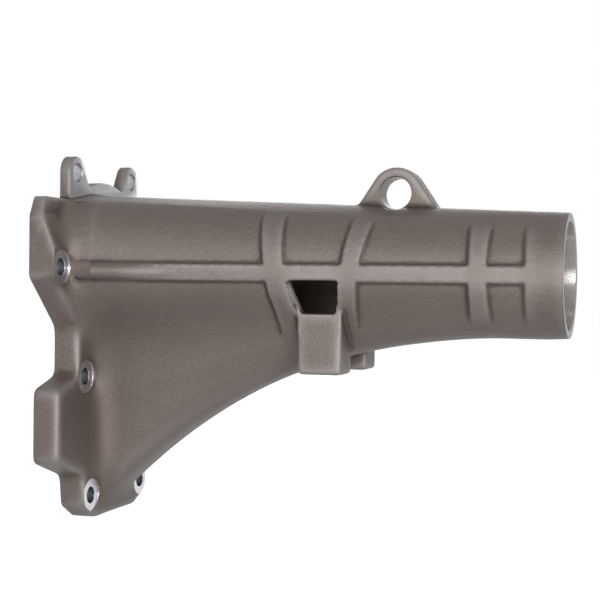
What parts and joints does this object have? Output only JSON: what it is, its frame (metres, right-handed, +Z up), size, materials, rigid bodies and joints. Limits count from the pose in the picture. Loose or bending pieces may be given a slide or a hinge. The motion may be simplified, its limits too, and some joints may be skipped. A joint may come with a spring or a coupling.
{
  "type": "gearbox housing",
  "caption": "One-piece cast light-alloy gearbox tail housing: a tapering ribbed tube with a bolting flange, lifting eye, side window and machined tail bore.",
  "frame": {"origin": "centre of the tail bore in the tail's end face", "axes": "+X along the tube and out of the tail, +Z up, flange at -X"},
  "size_m": [0.33, 0.184, 0.2451],
  "materials": {
    "cast_alloy": "shot-blasted cast skin, bright where machined"
  },
  "bodies": {
    "root": {"gearbox_housing": "cast_alloy"}
  },
  "joints": []
}
